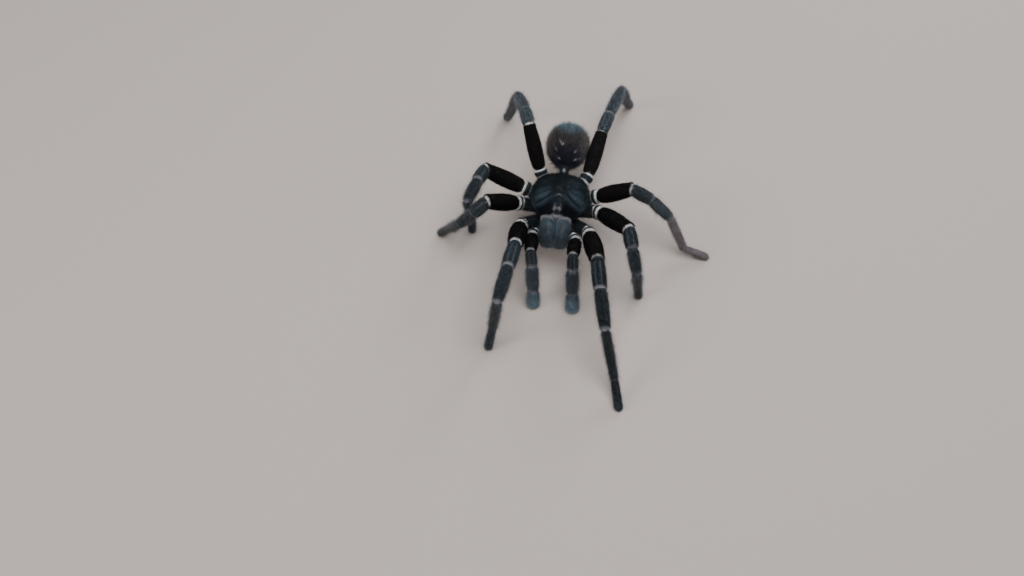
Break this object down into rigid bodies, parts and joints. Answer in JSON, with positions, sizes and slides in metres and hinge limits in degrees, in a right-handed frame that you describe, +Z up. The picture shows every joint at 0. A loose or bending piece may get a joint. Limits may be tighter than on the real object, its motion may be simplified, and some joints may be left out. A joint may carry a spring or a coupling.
{
  "type": "tarantula",
  "caption": "Life-size black tarantula, walking with raised knees and folded fangs, velvety hair and pale leg joints: a still display model.",
  "frame": {"origin": "middle of the box round the whole spider, on the floor that its feet stand on", "axes": "+Z up, from the floor; -Y the way the spider faces; +X its left side"},
  "size_m": [0.0924, 0.1262, 0.0291],
  "materials": {
    "carapace": "dark slate cuticle with a low sheen under short flat hair",
    "femur_hair": "velvety black hair",
    "leg_hair": "dark slate-blue hair with longer pale-tipped hairs",
    "abdomen_hair": "long soft brown-black hair",
    "underside_hair": "short dull dark brown hair",
    "eye": "glossy dark lens",
    "fang": "polished black-brown horn"
  },
  "bodies": {
    "root": {"abdomen": "abdomen_hair", "carapace": "carapace", "eye_left_front_middle": "eye", "eye_left_front_side": "eye", "eye_left_rear_middle": "eye", "eye_left_rear_side": "eye", "eye_right_front_middle": "eye", "eye_right_front_side": "eye", "eye_right_rear_middle": "eye", "eye_right_rear_side": "eye", "left_chelicera": "carapace", "left_fang": "fang", "left_leg_1_coxa": "underside_hair", "left_leg_1_femur": "femur_hair", "left_leg_1_foot": "leg_hair", "left_leg_1_tibia": "leg_hair", "left_leg_2_coxa": "underside_hair", "left_leg_2_femur": "femur_hair", "left_leg_2_foot": "leg_hair", "left_leg_2_tibia": "leg_hair", "left_leg_3_coxa": "underside_hair", "left_leg_3_femur": "femur_hair", "left_leg_3_foot": "leg_hair", "left_leg_3_tibia": "leg_hair", "left_leg_4_coxa": "underside_hair", "left_leg_4_femur": "femur_hair", "left_leg_4_foot": "leg_hair", "left_leg_4_tibia": "leg_hair", "left_palp_coxa": "underside_hair", "left_palp_femur": "femur_hair", "left_palp_foot": "leg_hair", "left_palp_tibia": "leg_hair", "left_spinneret": "underside_hair", "ocular_tubercle": "carapace", "pedicel": "underside_hair", "right_chelicera": "carapace", "right_fang": "fang", "right_leg_1_coxa": "underside_hair", "right_leg_1_femur": "femur_hair", "right_leg_1_foot": "leg_hair", "right_leg_1_tibia": "leg_hair", "right_leg_2_coxa": "underside_hair", "right_leg_2_femur": "femur_hair", "right_leg_2_foot": "leg_hair", "right_leg_2_tibia": "leg_hair", "right_leg_3_coxa": "underside_hair", "right_leg_3_femur": "femur_hair", "right_leg_3_foot": "leg_hair", "right_leg_3_tibia": "leg_hair", "right_leg_4_coxa": "underside_hair", "right_leg_4_femur": "femur_hair", "right_leg_4_foot": "leg_hair", "right_leg_4_tibia": "leg_hair", "right_palp_coxa": "underside_hair", "right_palp_femur": "femur_hair", "right_palp_foot": "leg_hair", "right_palp_tibia": "leg_hair", "right_spinneret": "underside_hair", "sternum": "underside_hair"}
  },
  "joints": []
}
